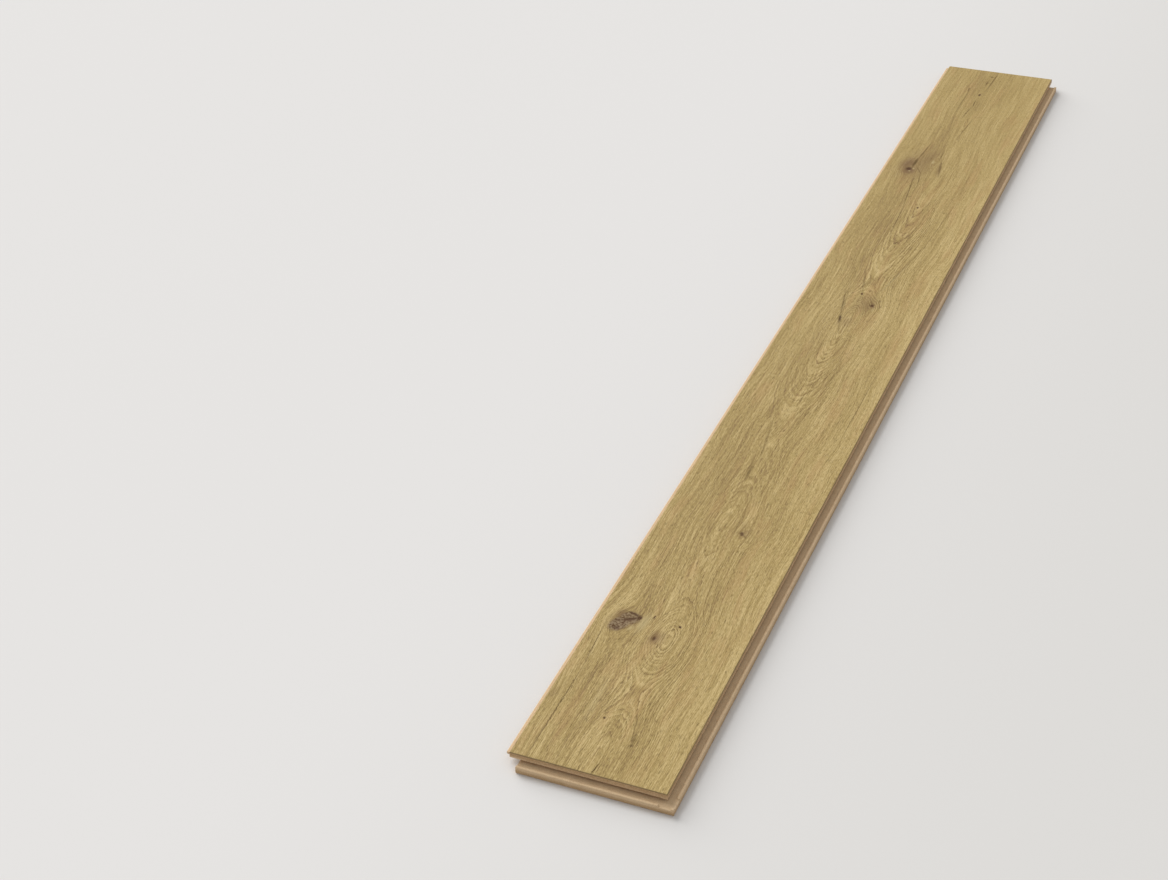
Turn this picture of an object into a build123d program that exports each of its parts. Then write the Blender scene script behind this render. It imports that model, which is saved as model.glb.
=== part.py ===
# Laminate floor plank: a decor board with click edges, in millimetres.
# It lies flat with the decor face up: length along Y, width along X, the underside on Z = 0.
# The groove with its locking lip runs along the right side and the front end.
# The tongue that fits a neighbour's groove runs along the left side and the back end.

import os

from build123d import *

# Decor face, as laid
face_length = 1285.0
face_width = 125.0
thickness = 12.0
bevel_width = 0.8
bevel_drop = 0.6

# Groove side, from the decor edge inwards and outwards
upper_lip = 4.9
groove_height = 2.2
groove_depth = 5.0
lip_reach = 7.5
hook_width = 2.2
hook_rise = 1.1
hook_slope = 0.5
lip_round = 0.4
groove_round = 0.5

# Tongue side, which takes its sizes from the groove side and these clearances
snug_gap = 0.05
free_gap = 0.3
tongue_round = 0.5

# Broken edge along the underside
underside_bevel = 0.5

# Heights that both sides share
lip_floor = thickness - upper_lip - groove_height
groove_roof = lip_floor + groove_height
hook_top = lip_floor + hook_rise

# Reach of the tongue past the decor edge, of the undercut inside it, and the overall size with both sides
tongue_reach = groove_depth - free_gap
undercut_reach = lip_reach + free_gap
overall_width = tongue_reach + face_width + lip_reach
overall_length = tongue_reach + face_length + lip_reach

# Decor edges, with the middle of the overall size at the origin
left_edge = tongue_reach - overall_width / 2
right_edge = overall_width / 2 - lip_reach
front_edge = lip_reach - overall_length / 2
back_edge = overall_length / 2 - tongue_reach


def groove_side():
    """Corners of the groove side, as distance outside the decor edge and height, from the underside up."""
    hook_inside = lip_reach - hook_width
    return [
        (lip_reach - underside_bevel, 0),
        (lip_reach, underside_bevel),
        (lip_reach, hook_top - lip_round),
        (lip_reach - lip_round, hook_top),
        (hook_inside, hook_top),
        (hook_inside - hook_slope, lip_floor),
        (groove_round - groove_depth, lip_floor),
        (-groove_depth, lip_floor + groove_round),
        (-groove_depth, groove_roof - groove_round),
        (groove_round - groove_depth, groove_roof),
        (0, groove_roof),
        (0, thickness - bevel_drop),
        (-bevel_width, thickness),
    ]


def tongue_side():
    """Corners of the tongue side, as distance outside the decor edge and height, from the underside up."""
    tongue_top = groove_roof - snug_gap
    tongue_bottom = lip_floor + snug_gap
    recess_top = hook_top + free_gap
    lock_face = hook_width - lip_reach + snug_gap
    return [
        (-undercut_reach - underside_bevel, 0),
        (-undercut_reach, underside_bevel),
        (-undercut_reach, recess_top),
        (lock_face, recess_top),
        (lock_face + hook_slope, tongue_bottom),
        (tongue_reach - tongue_round, tongue_bottom),
        (tongue_reach, tongue_bottom + tongue_round),
        (tongue_reach, tongue_top - tongue_round),
        (tongue_reach - tongue_round, tongue_top),
        (0, tongue_top),
        (0, thickness - bevel_drop),
        (-bevel_width, thickness),
    ]


def milled_section(tongue_edge, groove_edge):
    """Closed outline across the board, with the tongue side first and the groove side last."""
    tongue = [(tongue_edge - out, height) for out, height in tongue_side()]
    groove = [(groove_edge + out, height) for out, height in groove_side()]
    return tongue + groove[::-1]


# The board is milled lengthways and then across, so what is left is what both sections share
with BuildPart() as plank:
    with BuildSketch(Plane.XZ):
        with BuildLine():
            Polyline(milled_section(left_edge, right_edge), close=True)
        make_face()
    extrude(amount=overall_length / 2, both=True)
    with BuildSketch(Plane.YZ):
        with BuildLine():
            end_section = milled_section(-back_edge, -front_edge)
            Polyline([(-across, height) for across, height in end_section], close=True)
        make_face()
    extrude(amount=overall_width / 2, both=True, mode=Mode.INTERSECT)
    # Each lip ends square where the tongue side of the next edge begins
    with BuildSketch():
        with Locations((left_edge + undercut_reach, front_edge)):
            Rectangle(tongue_reach + undercut_reach, lip_reach, align=(Align.MAX, Align.MAX))
        with Locations((right_edge, back_edge - undercut_reach)):
            Rectangle(lip_reach, tongue_reach + undercut_reach, align=(Align.MIN, Align.MIN))
    extrude(amount=thickness, mode=Mode.SUBTRACT)

plank.part.label = "plank"

os.makedirs("parts", exist_ok=True)
export_step(plank.part, "parts/plank.step")
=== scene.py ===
"""Laminate floor plank: pressed oak decor on a milled fibreboard with click edges, on a pale studio floor."""

import math

import bmesh
import bpy
import numpy as np
from mathutils import Matrix, Vector


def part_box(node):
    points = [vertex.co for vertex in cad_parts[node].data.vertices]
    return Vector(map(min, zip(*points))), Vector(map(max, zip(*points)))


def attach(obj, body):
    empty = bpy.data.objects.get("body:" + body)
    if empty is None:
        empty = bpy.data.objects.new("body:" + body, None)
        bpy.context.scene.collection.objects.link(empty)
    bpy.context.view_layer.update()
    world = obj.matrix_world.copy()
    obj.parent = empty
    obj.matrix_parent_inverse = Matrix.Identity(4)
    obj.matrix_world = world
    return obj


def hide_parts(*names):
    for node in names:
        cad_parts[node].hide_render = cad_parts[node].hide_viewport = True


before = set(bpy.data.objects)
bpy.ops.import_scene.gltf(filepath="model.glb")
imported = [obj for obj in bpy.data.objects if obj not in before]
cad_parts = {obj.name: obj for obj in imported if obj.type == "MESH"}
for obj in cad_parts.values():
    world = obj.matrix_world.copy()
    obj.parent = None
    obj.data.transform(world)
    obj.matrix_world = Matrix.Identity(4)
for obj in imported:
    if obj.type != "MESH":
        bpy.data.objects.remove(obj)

bl_info = {
    "name": "Laminate floor plank",
    "version": (1, 0, 0),
    "blender": (4, 5, 0),
    "location": "3D View > Sidebar > Plank",
    "description": "Finishes a laminate floor plank and sets up its studio stage",
    "category": "Object",
}

# The CAD node that the pieces stand for, and a millimetre in metres
NODE = "plank"
MM = 0.001

# Box and thickness of the CAD plank
LOW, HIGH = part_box(NODE)
THICKNESS = HIGH.z - LOW.z
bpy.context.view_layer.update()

# The decor face inside the tongues and the lips, in metres
TONGUE_REACH = 4.7 * MM
LIP_REACH = 7.5 * MM
FACE_LEFT = LOW.x + TONGUE_REACH
FACE_FRONT = LOW.y + LIP_REACH
FACE_WIDTH = HIGH.x - LIP_REACH - FACE_LEFT
FACE_LENGTH = HIGH.y - TONGUE_REACH - FACE_FRONT

# How the pieces are meshed: thickness of the decor's film at its edge, height under which a face is backing
# paper and reach of a weld in metres; angles that count as sharp and as flat in radians; steps round the
# arris; and cells of the decor's grid
FILM = 0.2 * MM
BACKING = 0.1 * MM
WELD = 0.001 * MM
SHARP = math.radians(30)
FLAT = math.radians(0.5)
ARRIS_STEPS = 4
CELLS_ACROSS = 136
CELLS_ALONG = 562

# Pressed waves of the decor: how far inside the arris they reach full depth in metres, and how many
# millimetres a radian of a wave takes across and along the fibres
RELIEF_FADE = 3 * MM
RELIEF_WIDTH = 1.6
RELIEF_LENGTH = 45

# Layout of the decor's bake map: its bands, the gap round each and the share of the map that they fill, and
# the parts of the strip that is left, whose middle one holds the underside
MAP_BANDS = 3
MAP_GAP = 0.004
MAP_FACE = 0.98
STRIP_PARTS = 3

# What the decor's mesh carries at each point for its material
FIELDS = ("along_mm", "across_mm", "fibre_mm", "ring_mm", "figure", "tone", "grain", "halo", "arris")

# The oak figure in millimetres: station along the face, where its axis runs across it, how deep the pith lies
# under it there, and how clearly the rings print, from nought to one
FIGURE = (
    (0, 62, 8, 0.5),
    (54, 62, 11, 0.9),
    (78, 62, 20, 1.0),
    (112, 64, 19.5, 1.0),
    (160, 64, 0.5, 1.0),
    (205, 62, 19, 1.0),
    (262, 56, 20, 0.6),
    (320, 55, 12, 0.35),
    (382, 55, 20.5, 0.4),
    (412, 55, 24, 0.3),
    (460, 53, 28, 0.2),
    (500, 51, 26, 0.9),
    (535, 52, 20, 1.0),
    (575, 53, 13, 1.0),
    (610, 55, 6.5, 1.0),
    (640, 56, 1.5, 0.8),
    (690, 57, 2, 0.8),
    (728, 58, 21, 1.0),
    (765, 58, 21, 1.0),
    (815, 58, 17, 1.0),
    (880, 61, 12, 1.0),
    (945, 62, 8, 0.8),
    (1030, 60, 5, 0.5),
    (1150, 57, 5, 0.4),
    (1285, 59, 8, 0.3),
)

# Width of the bell curve that rounds the stations, how far it reaches, and width of the figure's own
FIGURE_ROUNDING = 12.0
ROUNDING_REACH = 40
FIGURE_WIDTH = 34.0

# Sideways drift of the fibres: length of each wave and its sway in millimetres, and its shift in turns; and
# the width across which a wave turns once
DRIFT = ((410, 2.2, 0.1), (173, 1.1, 0.45), (71, 0.45, 0.8))
DRIFT_TURN = 260.0

# Knots that push the fibres aside: along, across and radius in millimetres, and stretch along the plank
KNOT_FLOW = (
    (169, 24, 12, 1.6),
    (158, 53.5, 4, 1.8),
    (309, 73, 4, 2.2),
    (704, 71, 6, 2),
    (1006, 26, 9, 2),
    (1026, 50, 5, 2.5),
)

# Streaks of the printed oak: width across and reach along the fibres in millimetres, seed and strength
OAK_STREAKS = (
    (15, 260, 3.1, 0.7),
    (5, 110, 5.3, 0.5),
    (1.9, 45, 7.7, 0.5),
    (0.8, 60, 13.9, 1.0),
    (0.5, 24, 16.3, 1.1),
    (0.9, 6, 11.3, 0.6),
    (0.5, 3.5, 19.9, 1.5),
)

# Bands that follow the growth rings: width across the rings, reach along the plank, seed and strength
RING_BANDS = ((2.6, 90, 61.7, 0.7), (1.1, 40, 67.1, 0.9))

# Broad tone of the print: its mean, how much the shades darken it, how much paler it gets at the left and
# the right edge, and where across the face each paling begins in millimetres
MEAN_TONE = 0.54
SHADE_DEPTH = 0.32
PALER_LEFT = 0.085
PALER_RIGHT = 0.17
LEFT_FROM = 16.0
RIGHT_FROM = 60.0

# How much of the fine grain shows, at a few distances along the plank
CALM = ((0, 1.0), (450, 1.0), (800, 0.9), (1000, 0.7), (1285, 0.5))

# Full cores and outer rims of the marks, as shares of their half sizes
SOFT_CORE = 0.1
HEART_CORE = 0.3
BURL_CORE = 0.75
MARK_RIM = 1.25

# Marks of the printed oak: along, across, half length and half width in millimetres, lean in degrees and
# strength
HALOS = (
    (171, 23, 18, 13, 40, 0.65),
    (177, 18, 9, 7, 30, 0.7),
    (158, 56, 13, 8, 0, 0.4),
    (158, 53.8, 10, 6, 0, 0.85),
    (310, 74, 8, 7, 0, 0.5),
    (319, 72, 10, 4, 0, 0.25),
    (706, 65, 23, 13, 0, 0.45),
    (703, 70.5, 10, 6, 0, 0.6),
    (667, 56, 13, 9, 0, 0.35),
    (1001, 27, 15, 12, 0, 1.0),
    (1016, 23, 24, 12, 8, 0.9),
    (1034, 41, 32, 14, 8, 0.5),
    (1018, 34, 50, 25, 10, 0.5),
    (1012, 58, 22, 4, -8, 0.5),
    (72, 4, 9, 5, 0, 0.3),
    (1184, 60, 18, 5, 0, 0.15),
)
SMEARS = (
    (45, 81, 10, 2, -7, 0.6),
    (6, 65.8, 9, 0.8, 7, 1.0),
    (58, 13.5, 70, 0.6, 0, 0.9),
    (135, 11.5, 34, 0.7, -4, 0.8),
    (50, 33.5, 60, 0.5, 0, 0.3),
    (102, 25, 24, 0.5, 0, 0.4),
    (176, 44.4, 7, 0.5, 0, 0.45),
    (12, 51.5, 3.5, 0.6, 0, 0.4),
    (306, 77, 4, 1, -35, 0.5),
    (330, 65.5, 42, 0.8, -3, 0.45),
    (396, 49.5, 14, 1.9, -1, 0.7),
    (448, 48, 42, 1.6, -8, 0.4),
    (462, 37.3, 15, 0.6, 0, 0.5),
    (530, 110.5, 76, 0.7, 0, 0.6),
    (520, 57, 8, 1.2, -8, 0.45),
    (572, 74, 38, 0.9, 8, 0.35),
    (672, 48, 10, 2, -11, 1.0),
    (655, 52, 18, 1.2, -14, 0.4),
    (700, 42.7, 34, 1.2, -10.5, 0.7),
    (698, 45, 30, 0.7, -9.5, 0.4),
    (751, 49.5, 32, 1.5, -11.5, 0.5),
    (790, 81, 52, 1.6, 9, 0.35),
    (704, 79, 4, 1, -6, 0.5),
    (715, 75.6, 5, 0.8, -6, 0.55),
    (686, 66.3, 3, 0.6, -6, 0.5),
    (840, 51, 14, 0.9, -12, 0.45),
    (880, 46.5, 44, 0.8, -3, 0.7),
    (950, 40.5, 50, 0.9, -6, 0.75),
    (965, 53, 30, 0.7, -7, 0.35),
    (900, 93, 60, 0.9, 4, 0.35),
    (1021, 29, 14, 2.2, 2, 1.0),
    (1050, 31.5, 30, 1, 5, 0.8),
    (982, 43.5, 18, 0.9, -8, 0.75),
    (1003, 38, 12, 1, -30, 0.5),
    (1012, 59, 24, 1.4, -9, 0.6),
    (1048, 52.5, 16, 0.9, 0, 0.6),
    (1125, 60.5, 34, 0.9, 5, 0.6),
    (1165, 51.5, 22, 0.9, 6, 0.75),
    (1190, 53.8, 12, 1, -3, 0.9),
    (1192, 39.3, 46, 0.9, 1, 0.6),
    (1226, 38.2, 9, 0.9, -6, 0.8),
    (1250, 54.5, 8, 1.3, 0, 0.7),
    (1269, 56, 2, 3.4, 0, 0.7),
    (1258, 60, 34, 1.1, 3, 0.75),
)
PALES = (
    (172, 38.5, 15, 5, 6, 0.7),
    (163, 31, 5, 2.5, 20, 0.6),
    (75, 38, 30, 4, 0, 0.3),
    (698, 73.5, 5, 1.5, 0, 0.4),
    (999.6, 28, 1.6, 1.4, 0, 0.8),
    (1006.3, 30.8, 2.2, 1.1, 0, 0.8),
    (1027.5, 47.5, 5, 1.8, 0, 0.8),
    (762, 77, 40, 1.5, 10, 0.4),
)
HEARTS = (
    (173.2, 27, 8, 2.2, 62, 0.95),
    (180, 27.5, 6.5, 1.4, -74, 0.95),
    (176.8, 33.4, 3.4, 2.4, 0, 1.0),
    (159.6, 20, 2.8, 2.6, 0, 0.7),
    (157.5, 53.3, 3, 1.8, 0, 0.9),
    (309.2, 73.2, 3.4, 2.1, -20, 0.85),
    (705.1, 71, 3, 2.5, 0, 0.95),
    (1004.3, 26, 4.8, 3.8, 0, 1.0),
    (182, 44.2, 2.4, 1, 0, 0.95),
    (177.3, 67.5, 1.8, 1.4, -20, 1.0),
    (59, 51.5, 1.8, 1, 0, 0.9),
    (38, 82, 2, 1.5, 0, 0.5),
    (400, 65.5, 1.8, 1, 0, 0.4),
    (672, 48.2, 4, 1, -10, 0.7),
    (724, 55.2, 3, 1.3, -10, 0.9),
    (1027, 57, 3.2, 0.8, -12, 0.5),
    (918.3, 59.5, 2.6, 1.5, 0, 0.9),
    (1215, 54.1, 3.6, 1.8, 0, 0.95),
)
BURL = ((165, 20.5, 10, 7, 25, 0.9), (174, 26, 8, 8, 30, 0.75))
SHADES = (
    (30, 84, 50, 9, 0, 0.5),
    (110, 66, 60, 9, 0, 0.3),
    (120, 28, 120, 8, 0, 0.3),
    (380, 33, 100, 11, 0, 0.55),
    (400, 50, 45, 7, 0, 0.4),
    (240, 72, 130, 11, 0, 0.3),
    (480, 22, 90, 10, 0, 0.45),
    (600, 58, 50, 15, 0, 0.25),
    (760, 40, 100, 14, -4, 0.45),
    (860, 34, 110, 16, 0, 0.45),
    (850, 62, 80, 10, 0, 0.35),
    (640, 31, 640, 9, 0, 0.2),
    (560, 50, 90, 22, 0, 0.3),
    (790, 56, 60, 11, 0, 0.3),
    (90, 60, 22, 9, 0, 0.4),
    (740, 75, 70, 9, 6, 0.35),
    (960, 45, 80, 9, -6, 0.45),
    (1090, 40, 90, 15, 4, 0.6),
    (1150, 52, 90, 11, 2, 0.4),
    (1240, 50, 70, 15, 0, 0.6),
    (1000, 92, 70, 7, 3, 0.3),
    (1230, 80, 70, 11, 0, 0.35),
)

# A range below is two values of a noise or a share, and then the two values that they turn into

# Lines of the growth rings: wobble as width, reach, seed and sway in millimetres; patches in which a ring
# prints clearly, as width and reach, seed step from ring to ring, and range; range of the figure's
# clearness; powers by which late wood gathers at a ring's end and early wood at its start; and how far each
# moves the tone
RING_WOBBLE = (3, 10, 17.9, 1.8)
RING_PATCH = (25, 110)
RING_STEP = 3.1
RING_CLEAR = (0.35, 0.7, 0.2, 1)
FIGURE_CLEAR = (0, 1, 0.15, 1)
LATE_POWER = 3
EARLY_POWER = 2
LATE_TONE = -0.6
EARLY_TONE = 0.42

# Pores and rosy patches: width, reach and seed of their noise, and its range; how much closer pores stand in
# late wood, and how much of their colour shows
PORE_DASH = (0.45, 8, 27.1)
PORE_CLEAR = (0.63, 0.76, 0, 1)
PORE_CROWD = 0.1
PORE_SHARE = 0.6
BLUSH = (10, 60, 33.6)
BLUSH_CLEAR = (0.5, 0.75, 0, 0.35)

# Ragged rims of the marks: noise cells per millimetre for teeth of 2 mm, and how far they shake a rim in
# millimetres
RIM_CELLS = 0.45
RIM_SHAKE = 1.8

# Crumbs of a burl, 2 mm wide: noise cells per millimetre, and range
CRUMB_CELLS = 0.5
CRUMB_CLEAR = (0.4, 0.58, 0, 1)

# Fine relief of the print: its middle, its streak layers, and how deep rings, pores and knot hearts are sunk
RELIEF_MIDDLE = 0.5
RELIEF_STREAKS = ((0.8, 30, 41.2, 1.1), (1.2, 6, 47.5, 0.7))
SUNK_RINGS = -0.6
SUNK_PORES = -0.8
SUNK_HEARTS = -1.0

# Finish of the decor: range of its roughness over the pores, and specular level of the matt melamine
DECOR_ROUGH = (0, 1, 0.6, 0.75)
DECOR_GLOSS = 0.15

# Milled fibreboard: noise cells per millimetre for fibre bundles of 0.7 mm, clumps of 6 mm, and cutter marks
# 0.3 mm apart and 50 mm long; how much each darkens the tan; range of the darkening over the distance from
# the middle of the thickness, partly the board's denser skin and partly painted shade on the walls above and
# below the lip; how much the sum is lightened; how far the marks across the board reach in from its ends in
# millimetres; and their depth in metres
FELT_CELLS = 1.4
CLUMP_CELLS = 0.16
CUTTER_CELLS = 3
CUTTER_RUN = 0.02
FELT_SHADE = (0.35, 0.7, 0, 0.5)
CLUMP_SHADE = 0.35
CUTTER_SHADE = 0.3
SKIN_AND_PAINTED_SHADE = (1.1, 4, 0, 0.4)
BOARD_LIGHTER = 0.3
END_CUT = 5
CUT_DEPTH = 0.06 * MM

# Balancing paper: noise cells per millimetre for clouds of 20 mm and fibres of 1 mm, how much each darkens
# it, how much the sum is lightened, and depth of the fibres in metres
CLOUD_CELLS = 0.05
PAPER_CELLS = 0.9
CLOUD_SHADE = 0.7
PAPER_SHADE = 0.6
PAPER_LIGHTER = 0.25
PAPER_DEPTH = 0.03 * MM

# Floor: its half width and the range in which it darkens, in metres; and the sky's colour
FLOOR_REACH = 40.0
FLOOR_TURN = (-0.3, 0.4, 0, 1)
WHITE = (1, 1, 1, 1)

# Sockets of a Mix node: its share; base, coat and result for colours; base, coat and result for vectors
MIX_SHARE = 0
MIX_BASE, MIX_COAT, MIXED = 6, 7, 2
VECTOR_BASE, VECTOR_COAT, VECTOR_MIXED = 4, 5, 1


def linear(code):
    """Linear colour of an sRGB hex value, opaque."""
    shares = [int(code[i : i + 2], 16) / 255 for i in (1, 3, 5)]
    return (*(c / 12.92 if c <= 0.04045 else ((c + 0.055) / 1.055) ** 2.4 for c in shares), 1)


def colour(name, text, code):
    """Colour property with an sRGB hex value as its default."""
    return bpy.props.FloatVectorProperty(
        name=name, description=text, subtype="COLOR", size=4, min=0, max=1, default=linear(code)
    )


def length(name, text, millimetres):
    """Length property whose default is given in millimetres."""
    return bpy.props.FloatProperty(name=name, description=text, unit="LENGTH", default=millimetres * MM)


def number(name, text, value):
    """Property for a plain number."""
    return bpy.props.FloatProperty(name=name, description=text, default=value)


def turn(name, text, degrees):
    """Angle property whose default is given in degrees."""
    angle = math.radians(degrees)
    return bpy.props.FloatProperty(name=name, description=text, subtype="ANGLE", default=angle)


class PlankDecor(bpy.types.PropertyGroup):
    """Sizes and colours of the pressed oak decor."""

    ring: length("Ring spacing", "Distance between growth rings on a flat cut", 1.5)
    relief: length("Emboss depth", "Depth of the pressed pores and ring lines", 0.2)
    pale: colour("Pale wood", "Wood between the pores", "#C7AF79")
    middle: colour("Middle wood", "Mean tone of the decor", "#A99159")
    deep: colour("Deep wood", "Darker bands along the board", "#8B7146")
    pore: colour("Pores", "Dark pores and ring lines", "#5C4516")
    rose: colour("Rosy wood", "Pinkish brown patches in the figure", "#B18D5C")
    # Rolled edge: partly the bevel's own paint, partly painted shade, darkened so that lit edges read like a
    # shadowed joint
    edge: colour("Rolled edge", "Pinkish tan where the decor rolls over the edge", "#8A7453")
    burl: colour("Burl", "Greyish crumbs inside a burl", "#8E795D")
    halo: colour("Knot halo", "Violet brown wood round a knot", "#7A5E3C")
    heart: colour("Knot heart", "Near black heart of a knot", "#4E300E")
    sap: colour("Pale halo", "Pale greenish wood beside a knot", "#BBA877")


class PlankBoard(bpy.types.PropertyGroup):
    """Sizes and colours of the milled board under the decor."""

    arris: length("Arris width", "Width of the rounded edge of the decor", 0.8)
    drop: length("Arris drop", "How far the decor drops over the rounded edge", 0.6)
    broken_edge: length("Broken edge", "Width that the cutters take off each milled edge", 0.12)
    fibre: colour("Fibreboard", "Milled high-density fibreboard", "#DEC39D")
    fibre_deep: colour("Fibreboard shade", "Dark fibre bundles in the milled board", "#A07B4E")
    backing: colour("Backing paper", "Balancing paper on the underside", "#B9AE9B")
    backing_deep: colour("Backing shade", "Darker fibres in the balancing paper", "#9C907D")


class PlankStage(bpy.types.PropertyGroup):
    """Floor, light and camera."""

    floor: colour("Floor", "Pale studio floor", "#E4E2E0")
    floor_far: colour("Floor, right side", "Slightly darker floor on the side away from the light", "#DCDAD7")
    sky: number("Sky strength", "Even light from all round", 0.52)
    key: number("Key strength", "Strength of the soft key light", 3.4)
    key_elevation: turn("Key elevation", "Height of the key light above the horizon", 27)
    key_heading: turn("Key heading", "Where the key light points, from +X towards -Y", 33)
    key_size: turn("Key size", "How wide the key light looks from the plank", 48)
    azimuth: turn("Azimuth", "Camera heading, from +Y towards -X", 24.543)
    elevation: turn("Elevation", "Camera height above the horizon", 34.538)
    roll: turn("Roll", "Turn of the camera about its own axis", -2.706)
    distance: length("Distance", "From the camera to the decor plane along its axis", 1798.99)
    aim_x: length("Aim X", "Where the camera's axis meets the decor plane", -170.44)
    aim_y: length("Aim Y", "Where the camera's axis meets the decor plane", -248.88)
    lens: number("Lens", "Focal length in millimetres", 61.348)


def smoothed(stations, values, along):
    """Values given at a few stations along the plank, joined by straight lines and rounded by a moving bell
    curve."""
    table = np.arange(-ROUNDING_REACH, FACE_LENGTH / MM + ROUNDING_REACH, 1.0)
    steps = np.arange(-ROUNDING_REACH, ROUNDING_REACH + 1.0)
    bell = np.exp(-((steps / FIGURE_ROUNDING) ** 2) / 2)
    joined = np.interp(table, stations, values)
    rounded = np.convolve(np.pad(joined, ROUNDING_REACH, mode="edge"), bell / bell.sum(), mode="valid")
    return np.interp(along, table, rounded)


def wander(along, across):
    """Slow sideways drift of the fibres: sine waves of a few lengths added up, each turned a little by the
    width."""
    drift = np.zeros_like(along)
    for wave, sway, shift in DRIFT:
        drift += sway * np.sin(2 * math.pi * (along / wave + across / DRIFT_TURN + shift))
    return drift


def straightened(along, across):
    """Width with the fibres laid straight: each knot pushes it aside, by the knot's radius squared over the
    distance squared plus that radius squared."""
    fibre = across + wander(along, across)
    for knot_along, knot_across, radius, stretch in KNOT_FLOW:
        aside = across - knot_across
        apart = ((along - knot_along) / stretch) ** 2 + aside**2
        fibre = fibre - aside * radius**2 / (apart + radius**2)
    return fibre


def growth_rings(along, fibre):
    """Distance from the pith, by Pythagoras from the distance to the figure's axis and its depth; and how
    clear the rings are, which falls off from the axis to its sides as a bell curve."""
    stations, middles, depths, clearness = zip(*FIGURE)
    aside = fibre - straightened(along, smoothed(stations, middles, along))
    depth = smoothed(stations, depths, along)
    clear = smoothed(stations, clearness, along)
    return np.hypot(aside, depth), clear * np.exp(-((aside / FIGURE_WIDTH) ** 2))


def soft_marks(along, across, marks):
    """Share of soft marks: for each, a slope from its core down to its rim over the distance from its centre
    in half lengths and half widths, with the ends of that slope rounded, and the strongest mark wins."""
    share = np.zeros_like(along)
    for centre, middle, reach, width, lean, strength in marks:
        angle = math.radians(lean)
        down = (along - centre) * math.cos(angle) + (across - middle) * math.sin(angle)
        side = (across - middle) * math.cos(angle) - (along - centre) * math.sin(angle)
        apart = np.hypot(down / reach, side / width)
        slope = np.clip((MARK_RIM - apart) / (MARK_RIM - SOFT_CORE), 0, 1)
        share = np.maximum(share, strength * slope**2 * (3 - 2 * slope))
    return share


def broad_tone(along, across, fibre):
    """Tone of the print in broad bands: darker in the soft shades of the figure, and paler by the square of
    the distance towards either long edge."""
    right = np.clip((across - RIGHT_FROM) / (FACE_WIDTH / MM - RIGHT_FROM), 0, 1)
    left = np.clip(1 - across / LEFT_FROM, 0, 1)
    shades = SHADE_DEPTH * soft_marks(along, fibre, SHADES)
    return MEAN_TONE + PALER_RIGHT * right**2 + PALER_LEFT * left**2 - shades


def rolled_edge(span, arris, drop, cells):
    """Places and heights across a face: up the film's edge, round a quarter ellipse, over the face and back
    down."""
    angle = np.linspace(0, math.pi / 2, ARRIS_STEPS + 1)
    inset = np.concatenate(([0.0], arris * (1 - np.cos(angle))))
    height = np.concatenate(([-drop - FILM], drop * (np.sin(angle) - 1)))
    middle = np.linspace(arris, span - arris, cells + 1)[1:-1]
    places = np.concatenate((inset, middle, span - inset[::-1]))
    return places, np.concatenate((height, np.zeros_like(middle), height[::-1]))


def arc_share(places, heights):
    """Length run along a section up to each place, as a share of the whole."""
    run = np.concatenate(([0.0], np.cumsum(np.hypot(np.diff(places), np.diff(heights)))))
    return run / run[-1]


def pressed_relief(along, across, fibre, ring, depth):
    """Depth of the pressed face: shallow waves that follow the fibres and the rings, as a sine over the one
    times a cosine over the other, and a dish at each knot, as a bell curve over the distance from it."""
    slow = np.sin(fibre / RELIEF_WIDTH + np.sin(along / RELIEF_LENGTH)) * np.cos(ring / RELIEF_WIDTH)
    relief = depth * (slow - 1) / 2
    for knot_along, knot_across, radius, _ in KNOT_FLOW:
        apart = ((along - knot_along) ** 2 + (across - knot_across) ** 2) / radius**2
        relief = relief - depth * np.exp(-apart)
    return relief


def decor_faces(rows, columns):
    """Squares of the decor grid, and the strips that close it underneath from side to side."""
    index = np.arange(rows * columns).reshape(rows, columns)
    squares = np.stack((index[:-1, :-1], index[:-1, 1:], index[1:, 1:], index[1:, :-1]), axis=-1)
    squares = squares.reshape(-1, squares.shape[-1])
    left, right = index[2:-2, 0], index[2:-2, -1]
    strips = np.stack((right[:-1], left[:-1], left[1:], right[1:]), axis=-1)
    front = [*index[0, ::-1], left[0], right[0]]
    back = [right[-1], left[-1], *index[-1]]
    return squares, [*strips.tolist(), front, back]


def decor_map(mesh, squares, rows, columns, along_share, across_share):
    """Bake map: the face in bands that share its length equally, and the hidden underside in a thin strip."""
    corners = np.zeros(len(mesh.loops), np.int32)
    mesh.loops.foreach_get("vertex_index", corners)
    row, column = corners // columns, corners % columns
    cells = np.full(len(corners), -1)
    cells[: squares.size] = np.repeat(squares[:, 0] // columns, squares.shape[1])
    band = np.clip(cells * MAP_BANDS // (rows - 1), 0, MAP_BANDS - 1)
    first_rows = [math.ceil((rows - 1) * done / MAP_BANDS) for done in range(MAP_BANDS + 1)]
    starts = along_share[first_rows]
    run = (along_share[row] - starts[band]) / (starts[band + 1] - starts[band])
    height = MAP_FACE / MAP_BANDS
    u = MAP_GAP + (1 - 2 * MAP_GAP) * run
    v = height * band + MAP_GAP + (height - 2 * MAP_GAP) * across_share[column]
    hidden = cells < 0
    u[hidden] = along_share[row[hidden]]
    v[hidden] = MAP_FACE + (1 - MAP_FACE) * (1 + across_share[column[hidden]]) / STRIP_PARTS
    layer = mesh.uv_layers.new(name="OFBake")
    layer.data.foreach_set("uv", np.stack((u, v), axis=-1).ravel())


def store_fields(mesh, fields):
    """Gives each point of the mesh the values that its material reads."""
    for name, values in zip(FIELDS, fields):
        layer = mesh.attributes.new(name, "FLOAT", "POINT")
        layer.data.foreach_set("value", values.astype(np.float32).ravel())


def weld(mesh):
    """Joins the points of a mesh that lie in one place."""
    merged = bmesh.new()
    merged.from_mesh(mesh)
    bmesh.ops.remove_doubles(merged, verts=merged.verts, dist=WELD)
    merged.to_mesh(mesh)
    merged.free()


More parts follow.
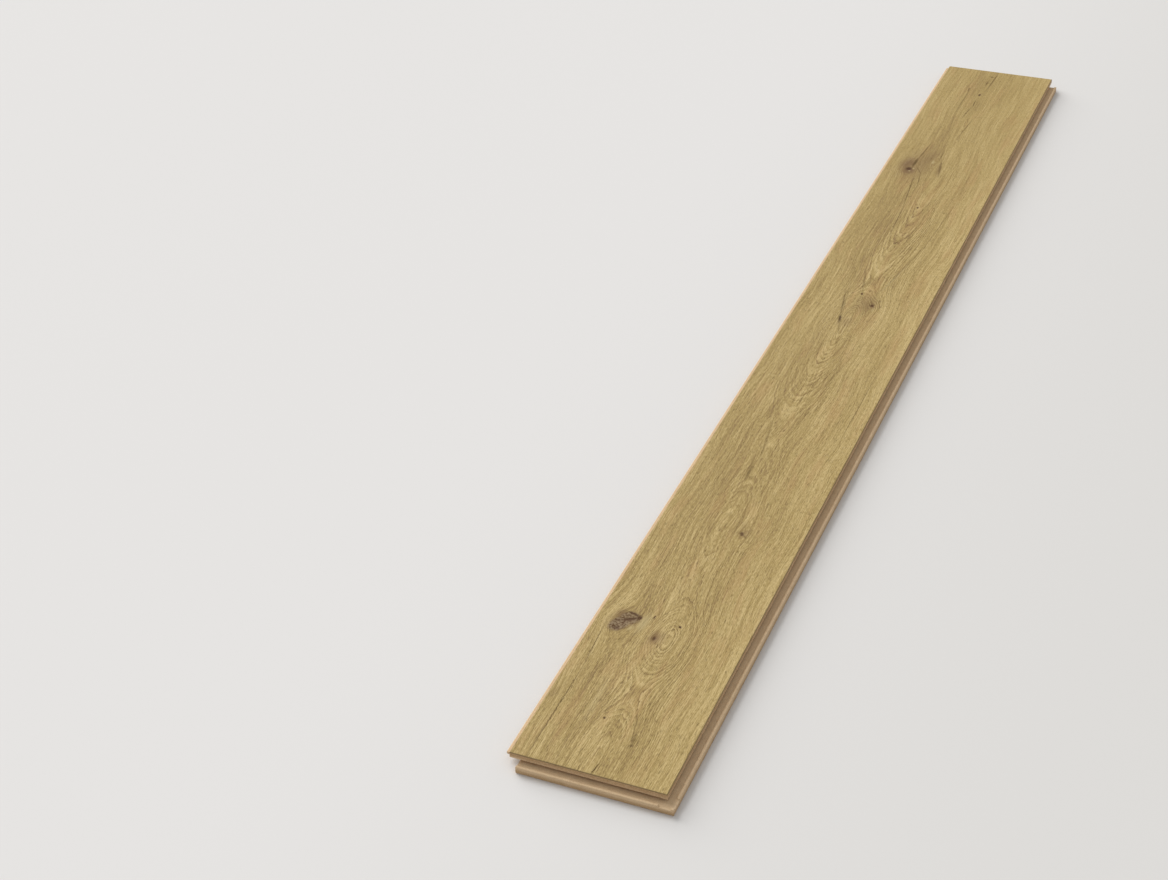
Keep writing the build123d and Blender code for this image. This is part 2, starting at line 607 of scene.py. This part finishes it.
def decor_mesh(decor, board):
    """Face of the plank: a grid over length and width, at the lower of the two rolled sections, less the
    relief."""
    across, across_height = rolled_edge(FACE_WIDTH, board.arris, board.drop, CELLS_ACROSS)
    along, along_height = rolled_edge(FACE_LENGTH, board.arris, board.drop, CELLS_ALONG)
    wide, far = np.meshgrid(across, along)
    inside = np.minimum(np.minimum(wide, FACE_WIDTH - wide), np.minimum(far, FACE_LENGTH - far))
    fibre = straightened(far / MM, wide / MM)
    ring, figure = growth_rings(far / MM, fibre)
    fade = np.clip((inside - board.arris) / RELIEF_FADE, 0, 1)
    height = np.minimum(across_height[None, :], along_height[:, None])
    height = height + fade * pressed_relief(far / MM, wide / MM, fibre, ring, decor.relief)
    points = np.stack((FACE_LEFT + wide, FACE_FRONT + far, HIGH.z + height), axis=-1)
    squares, strips = decor_faces(len(along), len(across))
    mesh = bpy.data.meshes.new("pressed_decor")
    mesh.from_pydata(points.reshape(-1, 3), [], [*squares.tolist(), *strips])
    tone = broad_tone(far / MM, wide / MM, fibre)
    busy = np.interp(far / MM, *zip(*CALM))
    halo = soft_marks(far / MM, wide / MM, HALOS)
    arris = np.clip(1 - inside / board.arris, 0, 1)
    fields = (far / MM, wide / MM, fibre, ring, figure, tone, busy, halo, arris)
    store_fields(mesh, fields)
    along_share = arc_share(along, along_height)
    across_share = arc_share(across, across_height)
    decor_map(mesh, squares, len(along), len(across), along_share, across_share)
    mesh.polygons.foreach_set("use_smooth", np.ones(len(mesh.polygons), bool))
    weld(mesh)
    mesh.set_sharp_from_angle(angle=SHARP)
    return mesh


def board_mesh(board):
    """Board under the decor: the CAD plank cut off under the film, closed, with its milled edges just
    broken."""
    milled = bmesh.new()
    milled.from_mesh(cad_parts[NODE].data)
    bmesh.ops.remove_doubles(milled, verts=milled.verts, dist=WELD)
    top = HIGH.z - board.drop - FILM
    everything = [*milled.verts, *milled.edges, *milled.faces]
    bmesh.ops.bisect_plane(
        milled, geom=everything, plane_co=(0, 0, top), plane_no=(0, 0, 1), clear_outer=True
    )
    rim = [edge for edge in milled.edges if edge.is_boundary]
    bmesh.ops.edgeloop_fill(milled, edges=rim)
    bmesh.ops.dissolve_limit(milled, angle_limit=FLAT, verts=milled.verts, edges=milled.edges)
    crisp = [
        edge
        for edge in milled.edges
        if edge.calc_face_angle() > SHARP and min(v.co.z for v in edge.verts) < top - WELD
    ]
    bmesh.ops.bevel(milled, geom=crisp, offset=board.broken_edge, segments=1, affect="EDGES")
    for face in milled.faces:
        face.material_index = int(face.calc_center_median().z < BACKING and face.normal.z < -math.cos(FLAT))
    mesh = bpy.data.meshes.new("milled_board")
    milled.to_mesh(mesh)
    milled.free()
    return mesh


def place_piece(mesh, materials):
    """Adds the object of a finished mesh, with its materials, riding on the plank's body in the CAD node's
    place."""
    piece = bpy.data.objects.new(mesh.name, mesh)
    bpy.context.scene.collection.objects.link(piece)
    for material in materials:
        mesh.materials.append(material)
    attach(piece, "root")
    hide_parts(NODE)


def add_node(tree, kind, inputs=(), out=0, **settings):
    """Adds a node with its settings, sets or links its inputs by place or name, and returns one output."""
    node = tree.nodes.new("ShaderNode" + kind)
    for name, value in settings.items():
        setattr(node, name, value)
    pairs = inputs.items() if isinstance(inputs, dict) else enumerate(inputs)
    for key, value in pairs:
        if isinstance(value, bpy.types.NodeSocket):
            tree.links.new(value, node.inputs[key])
        else:
            node.inputs[key].default_value = value
    return node.outputs[out] if node.outputs else None


def new_material(name):
    """Empty node material."""
    material = bpy.data.materials.new(name)
    material.use_nodes = True
    material.node_tree.nodes.clear()
    return material


def place_in_mm(tree):
    """Place on the object in millimetres."""
    place = add_node(tree, "TexCoord", out="Object")
    return add_node(tree, "VectorMath", {"Vector": place, "Scale": 1 / MM}, operation="SCALE")


def grain(tree, across, along, width, reach, seed, detail=2.0):
    """Streaks that are width millimetres across the grain and reach millimetres along it."""
    u = add_node(tree, "Math", (across, width), operation="DIVIDE")
    v = add_node(tree, "Math", (along, reach), operation="DIVIDE")
    place = add_node(tree, "CombineXYZ", (u, v, seed))
    return add_node(tree, "TexNoise", {"Vector": place, "Scale": 1.0, "Detail": detail})


def added_up(tree, start, parts):
    """Sum of a start and of each part times its weight."""
    for part, weight in parts:
        start = add_node(tree, "Math", (part, weight, start), operation="MULTIPLY_ADD")
    return start


def streaked(tree, across, along, middle, layers):
    """Streak layers added up about a middle value, each layer as width, reach, seed and strength."""
    parts = [(grain(tree, across, along, *noise), strength) for *noise, strength in layers]
    total = sum(strength for _, strength in parts)
    return added_up(tree, middle - total / 2, parts)


def layered(tree, base, coats):
    """Base colour with each coat's colour laid over it in turn, by the coat's share."""
    for coat, share in coats:
        sockets = {MIX_SHARE: share, MIX_BASE: base, MIX_COAT: coat}
        base = add_node(tree, "Mix", sockets, out=MIXED, data_type="RGBA")
    return base


def marked(tree, place, marks, core):
    """Share of the marks at a place: each has its strength up to its core and fades to none at its rim, and
    the strongest mark wins."""
    share = 0.0
    for along, across, reach, width, lean, strength in marks:
        centred = {
            "Vector": place,
            "Location": (across, along, 0),
            "Rotation": (0, 0, -math.radians(lean)),
            "Scale": (width, reach, 1),
        }
        apart = add_node(tree, "Mapping", centred, vector_type="TEXTURE")
        apart = add_node(tree, "VectorMath", (apart,), out="Value", operation="LENGTH")
        spot = (apart, core, MARK_RIM, strength, 0)
        spot = add_node(tree, "MapRange", spot, interpolation_type="SMOOTHSTEP")
        share = add_node(tree, "Math", (share, spot), operation="MAXIMUM")
    return share


def ring_lines(tree, ring, figure, fibre, along, spacing):
    """Dark late wood that ends each growth ring and the pale early wood after it, each ring with a strength
    of its own."""
    *wobble, sway = RING_WOBBLE
    ragged = grain(tree, fibre, along, *wobble, detail=3.0)
    ring = added_up(tree, ring, [(ragged, sway)])
    ring = add_node(tree, "Math", (ring, spacing / MM), operation="DIVIDE")
    phase = add_node(tree, "Math", (ring,), operation="FRACT")
    count = add_node(tree, "Math", (ring,), operation="FLOOR")
    count = add_node(tree, "Math", (count, RING_STEP), operation="MULTIPLY")
    strength = grain(tree, fibre, along, *RING_PATCH, count, detail=0.0)
    strength = add_node(tree, "MapRange", (strength, *RING_CLEAR), interpolation_type="SMOOTHSTEP")
    strength = add_node(tree, "Math", (strength, figure), operation="MULTIPLY")
    late = add_node(tree, "Math", (phase, LATE_POWER), operation="POWER")
    late = add_node(tree, "Math", (late, strength), operation="MULTIPLY")
    early = add_node(tree, "Math", (1, phase), operation="SUBTRACT")
    early = add_node(tree, "Math", (early, EARLY_POWER), operation="POWER")
    early = add_node(tree, "Math", (early, strength), operation="MULTIPLY")
    return late, early


def pores(tree, fibre, along, late):
    """Short dark pores, less than half a millimetre wide and closer together in the late wood."""
    dashes = grain(tree, fibre, along, *PORE_DASH, detail=1.0)
    crowd = added_up(tree, dashes, [(late, PORE_CROWD)])
    return add_node(tree, "MapRange", (crowd, *PORE_CLEAR), interpolation_type="SMOOTHSTEP")


def shaken_place(tree, across, along):
    """Place on the face in millimetres, shaken a little so that the marks get ragged rims."""
    place = add_node(tree, "CombineXYZ", (across, along, 0))
    shake = add_node(tree, "TexNoise", {"Vector": place, "Scale": RIM_CELLS, "Detail": 2.0}, out="Color")
    place = add_node(tree, "VectorMath", (shake, (RIM_SHAKE, RIM_SHAKE, 0), place), operation="MULTIPLY_ADD")
    return add_node(tree, "VectorMath", (place, (RIM_SHAKE / 2, RIM_SHAKE / 2, 0)), operation="SUBTRACT")


def oak_colour(tree, decor, tone):
    """Deep, middle and pale wood laid out over a tone from nought to one."""
    lower = add_node(tree, "MapRange", (tone, 0, 0.5, 0, 1))
    upper = add_node(tree, "MapRange", (tone, 0.5, 1, 0, 1))
    return layered(tree, decor.deep, [(decor.middle, lower), (decor.pale, upper)])


def burl_colour(tree, decor, place):
    """Near black wood of a burl with greyish crumbs in it."""
    crumbs = add_node(tree, "TexNoise", {"Vector": place, "Scale": CRUMB_CELLS, "Detail": 2.0})
    crumbs = add_node(tree, "MapRange", (crumbs, *CRUMB_CLEAR))
    return layered(tree, decor.heart, [(decor.burl, crumbs)])


def fine_relief(tree, fibre, along, sunk, busy):
    """Height of the fine grain: streaks less the sunk parts, and flatter where little of the grain shows."""
    relief = streaked(tree, fibre, along, RELIEF_MIDDLE, RELIEF_STREAKS)
    relief = added_up(tree, relief, sunk)
    return add_node(tree, "Math", (relief, busy), operation="MULTIPLY")


def decor_material(decor):
    """Oak printed on paper and pressed under melamine: matt, with fine pores and rings sunk into the print.

    The eye gets a calm honey tone in long soft bands, knots with violet halos, and short ticks of light and
    shade.
    """
    material = new_material("pressed_oak_decor")
    tree = material.node_tree
    along, across, fibre, ring, figure, tone, busy, halo, arris = [
        add_node(tree, "Attribute", out="Fac", attribute_name=name) for name in FIELDS
    ]
    figure = add_node(tree, "MapRange", (figure, *FIGURE_CLEAR))
    late, early = ring_lines(tree, ring, figure, fibre, along, decor.ring)
    pore = pores(tree, fibre, along, late)
    streaks = streaked(tree, fibre, along, 0, OAK_STREAKS)
    bands = streaked(tree, ring, along, 0, RING_BANDS)
    tone = added_up(tree, tone, [(streaks, busy), (bands, figure), (late, LATE_TONE), (early, EARLY_TONE)])
    blush = grain(tree, fibre, along, *BLUSH)
    blush = add_node(tree, "MapRange", (blush, *BLUSH_CLEAR), interpolation_type="SMOOTHSTEP")
    pore_share = add_node(tree, "Math", (pore, PORE_SHARE), operation="MULTIPLY")
    place = shaken_place(tree, across, along)
    hearts = marked(tree, place, HEARTS, HEART_CORE)
    coats = [
        (decor.rose, blush),
        (decor.pore, pore_share),
        (decor.halo, halo),
        (decor.sap, marked(tree, place, PALES, SOFT_CORE)),
        (decor.pore, marked(tree, place, SMEARS, SOFT_CORE)),
        (burl_colour(tree, decor, place), marked(tree, place, BURL, BURL_CORE)),
        (decor.heart, hearts),
        # Rolled edge, darker than the bevel's paint alone: partly painted shade
        (decor.edge, arris),
    ]
    wood = layered(tree, oak_colour(tree, decor, tone), coats)
    sunk = [(late, SUNK_RINGS), (pore, SUNK_PORES), (hearts, SUNK_HEARTS)]
    relief = fine_relief(tree, fibre, along, sunk, busy)
    normal = add_node(tree, "Bump", {"Strength": 1.0, "Distance": decor.relief, "Height": relief})
    rough = add_node(tree, "MapRange", (pore, *DECOR_ROUGH))
    shine = {"Base Color": wood, "Roughness": rough, "Specular IOR Level": DECOR_GLOSS, "Normal": normal}
    shader = add_node(tree, "BsdfPrincipled", shine)
    add_node(tree, "OutputMaterial", (shader,))
    return material


def cutter_marks(tree, place):
    """Fine lines where the cutters ran: along the long sides, and across the board at its two ends."""
    y = add_node(tree, "SeparateXYZ", (place,), out="Y")
    off_middle = add_node(tree, "Math", (y, (FACE_FRONT + FACE_LENGTH / 2) / MM), operation="SUBTRACT")
    off_middle = add_node(tree, "Math", (off_middle,), operation="ABSOLUTE")
    end = add_node(tree, "Math", (off_middle, FACE_LENGTH / MM / 2 - END_CUT), operation="GREATER_THAN")
    long_side, end_side = [
        add_node(tree, "Mapping", {"Vector": place, "Scale": cells})
        for cells in ((CUTTER_CELLS, CUTTER_RUN, CUTTER_CELLS), (CUTTER_RUN, CUTTER_CELLS, CUTTER_CELLS))
    ]
    sockets = {MIX_SHARE: end, VECTOR_BASE: long_side, VECTOR_COAT: end_side}
    run = add_node(tree, "Mix", sockets, out=VECTOR_MIXED, data_type="VECTOR")
    return add_node(tree, "TexNoise", {"Vector": run, "Scale": 1.0, "Detail": 1.0})


def fibreboard_material(board):
    """High-density fibreboard cut with moulding cutters: dry felted brown fibres, darker towards its faces,
    partly for its denser skin and partly as painted shade on the walls above and below the lip.

    The eye gets an even tan with fine specks, faint lines where the cutters ran, and no gloss.
    """
    material = new_material("milled_fibreboard")
    tree = material.node_tree
    place = place_in_mm(tree)
    cutter = cutter_marks(tree, place)
    felt = {"Vector": place, "Scale": FELT_CELLS, "Detail": 4.0, "Roughness": 0.65}
    felt = add_node(tree, "TexNoise", felt)
    clumps = add_node(tree, "TexNoise", {"Vector": place, "Scale": CLUMP_CELLS, "Detail": 2.0})
    z = add_node(tree, "SeparateXYZ", (place,), out="Z")
    depth = add_node(tree, "Math", (z, THICKNESS / MM / 2), operation="SUBTRACT")
    depth = add_node(tree, "Math", (depth,), operation="ABSOLUTE")
    # Painted shade, partly also the board's denser skin: darker towards its faces, so the walls above and
    # below the lip look shaded beside the lit lip top
    skin_and_wall_shade = add_node(tree, "MapRange", (depth, *SKIN_AND_PAINTED_SHADE), interpolation_type="SMOOTHSTEP")
    shade = add_node(tree, "MapRange", (felt, *FELT_SHADE))
    shade = added_up(tree, shade, [(clumps, CLUMP_SHADE), (cutter, CUTTER_SHADE), (skin_and_wall_shade, 1)])
    shade = add_node(tree, "Math", (shade, BOARD_LIGHTER), operation="SUBTRACT")
    tan = layered(tree, board.fibre, [(board.fibre_deep, shade)])
    relief = add_node(tree, "Math", (cutter, felt), operation="ADD")
    normal = add_node(tree, "Bump", {"Strength": 0.6, "Distance": CUT_DEPTH, "Height": relief})
    shader = add_node(tree, "BsdfPrincipled", {"Base Color": tan, "Roughness": 0.85, "Normal": normal})
    add_node(tree, "OutputMaterial", (shader,))
    return material


def backing_material(board):
    """Resin-soaked balancing paper pressed on the underside: smooth greyish beige.

    The eye gets soft clouds, fine fibres and a dull sheen.
    """
    material = new_material("balancing_paper")
    tree = material.node_tree
    place = place_in_mm(tree)
    clouds = add_node(tree, "TexNoise", {"Vector": place, "Scale": CLOUD_CELLS, "Detail": 3.0})
    fibres = {"Vector": place, "Scale": PAPER_CELLS, "Detail": 3.0, "Roughness": 0.6}
    fibres = add_node(tree, "TexNoise", fibres)
    shade = added_up(tree, -PAPER_LIGHTER, [(fibres, PAPER_SHADE), (clouds, CLOUD_SHADE)])
    paper = layered(tree, board.backing, [(board.backing_deep, shade)])
    normal = add_node(tree, "Bump", {"Strength": 0.4, "Distance": PAPER_DEPTH, "Height": fibres})
    shader = add_node(tree, "BsdfPrincipled", {"Base Color": paper, "Roughness": 0.5, "Normal": normal})
    add_node(tree, "OutputMaterial", (shader,))
    return material


def floor_material(stage):
    """Matt painted floor: one pale tone, a little darker on the side that the light reaches last."""
    material = new_material("pale_matt_floor")
    tree = material.node_tree
    place = add_node(tree, "TexCoord", out="Object")
    x = add_node(tree, "SeparateXYZ", (place,), out="X")
    side = add_node(tree, "MapRange", (x, *FLOOR_TURN), interpolation_type="SMOOTHSTEP")
    pale = layered(tree, stage.floor, [(stage.floor_far, side)])
    dull = {"Base Color": pale, "Roughness": 0.95, "Specular IOR Level": 0.1}
    shader = add_node(tree, "BsdfPrincipled", dull)
    add_node(tree, "OutputMaterial", (shader,))
    return material


def lay_floor(stage):
    """Wide flat floor under the plank."""
    corners = [(-FLOOR_REACH, -FLOOR_REACH, 0), (FLOOR_REACH, -FLOOR_REACH, 0)]
    corners += [(FLOOR_REACH, FLOOR_REACH, 0), (-FLOOR_REACH, FLOOR_REACH, 0)]
    mesh = bpy.data.meshes.new("floor")
    mesh.from_pydata(corners, [], [(0, 1, 2, 3)])
    mesh.materials.append(floor_material(stage))
    floor = bpy.data.objects.new("floor", mesh)
    bpy.context.scene.collection.objects.link(floor)


def light_world(stage):
    """Even sky for the light, shown as a pale backdrop to the camera and in reflections."""
    world = bpy.data.worlds.new("studio")
    world.use_nodes = True
    tree = world.node_tree
    tree.nodes.clear()
    camera = add_node(tree, "LightPath", out="Is Camera Ray")
    glossy = add_node(tree, "LightPath", out="Is Glossy Ray")
    clear = add_node(tree, "LightPath", out="Is Transmission Ray")
    seen = add_node(tree, "Math", (camera, glossy), operation="MAXIMUM")
    seen = add_node(tree, "Math", (seen, clear), operation="MAXIMUM")
    sky = add_node(tree, "Background", (WHITE, stage.sky))
    backdrop = add_node(tree, "Background", (stage.floor, 1.0))
    shader = add_node(tree, "MixShader", (seen, sky, backdrop))
    add_node(tree, "OutputWorld", (shader,))
    bpy.context.scene.world = world


def hang_key(stage):
    """Soft sun that points along its heading and down at its elevation."""
    lamp = bpy.data.lights.new("key", "SUN")
    lamp.energy = stage.key
    lamp.angle = stage.key_size
    key = bpy.data.objects.new("key", lamp)
    bpy.context.scene.collection.objects.link(key)
    level = math.cos(stage.key_elevation)
    beam = Vector((
        level * math.cos(stage.key_heading),
        -level * math.sin(stage.key_heading),
        -math.sin(stage.key_elevation),
    ))
    key.rotation_euler = beam.to_track_quat("-Z", "Y").to_euler()


def aim_camera(stage):
    """Camera at the photograph's angle: turned to its heading, tipped down, rolled, and backed off from its
    aim."""
    lens = bpy.data.cameras.new("camera")
    lens.lens = stage.lens
    camera = bpy.data.objects.new("camera", lens)
    bpy.context.scene.collection.objects.link(camera)
    heading = Matrix.Rotation(stage.azimuth, 4, "Z") @ Matrix.Rotation(math.pi / 2 - stage.elevation, 4, "X")
    view = heading @ Matrix.Rotation(stage.roll, 4, "Z")
    aim = Vector((stage.aim_x, stage.aim_y, HIGH.z))
    camera.matrix_world = Matrix.Translation(aim + view.col[2].xyz * stage.distance) @ view
    bpy.context.scene.camera = camera


class PLANK_OT_decor(bpy.types.Operator):
    """Makes the pressed decor with its rolled edges"""

    bl_idname = "plank.decor"
    bl_label = "Press the decor"

    def execute(self, context):
        decor, board = context.scene.plank_decor, context.scene.plank_board
        place_piece(decor_mesh(decor, board), [decor_material(decor)])
        return {"FINISHED"}


class PLANK_OT_board(bpy.types.Operator):
    """Makes the milled board and its backing paper"""

    bl_idname = "plank.board"
    bl_label = "Mill the board"

    def execute(self, context):
        board = context.scene.plank_board
        place_piece(board_mesh(board), [fibreboard_material(board), backing_material(board)])
        return {"FINISHED"}


class PLANK_OT_stage(bpy.types.Operator):
    """Sets up the floor, the light and the camera"""

    bl_idname = "plank.stage"
    bl_label = "Set up the stage"

    def execute(self, context):
        stage = context.scene.plank_stage
        lay_floor(stage)
        light_world(stage)
        hang_key(stage)
        aim_camera(stage)
        context.scene.view_settings.view_transform = "Standard"
        return {"FINISHED"}


class PLANK_PT_panel(bpy.types.Panel):
    """Sizes, colours and steps of the plank"""

    bl_label = "Laminate floor plank"
    bl_idname = "PLANK_PT_panel"
    bl_space_type = "VIEW_3D"
    bl_region_type = "UI"
    bl_category = "Plank"

    def draw(self, context):
        for step, settings in STEPS.items():
            box = self.layout.box()
            box.operator(step)
            group = getattr(context.scene, settings)
            for name in group.__annotations__:
                box.prop(group, name)


STEPS = {"plank.stage": "plank_stage", "plank.decor": "plank_decor", "plank.board": "plank_board"}
GROUPS = {"plank_stage": PlankStage, "plank_decor": PlankDecor, "plank_board": PlankBoard}
CLASSES = (*GROUPS.values(), PLANK_OT_stage, PLANK_OT_decor, PLANK_OT_board, PLANK_PT_panel)


def register():
    for kind in CLASSES:
        bpy.utils.register_class(kind)
    for name, kind in GROUPS.items():
        setattr(bpy.types.Scene, name, bpy.props.PointerProperty(type=kind))


def unregister():
    for name in GROUPS:
        delattr(bpy.types.Scene, name)
    for kind in reversed(CLASSES):
        bpy.utils.unregister_class(kind)


def main():
    """Builds the plank and its stage."""
    register()
    bpy.ops.plank.stage()
    bpy.ops.plank.decor()
    bpy.ops.plank.board()


if __name__ == "__main__":
    main()
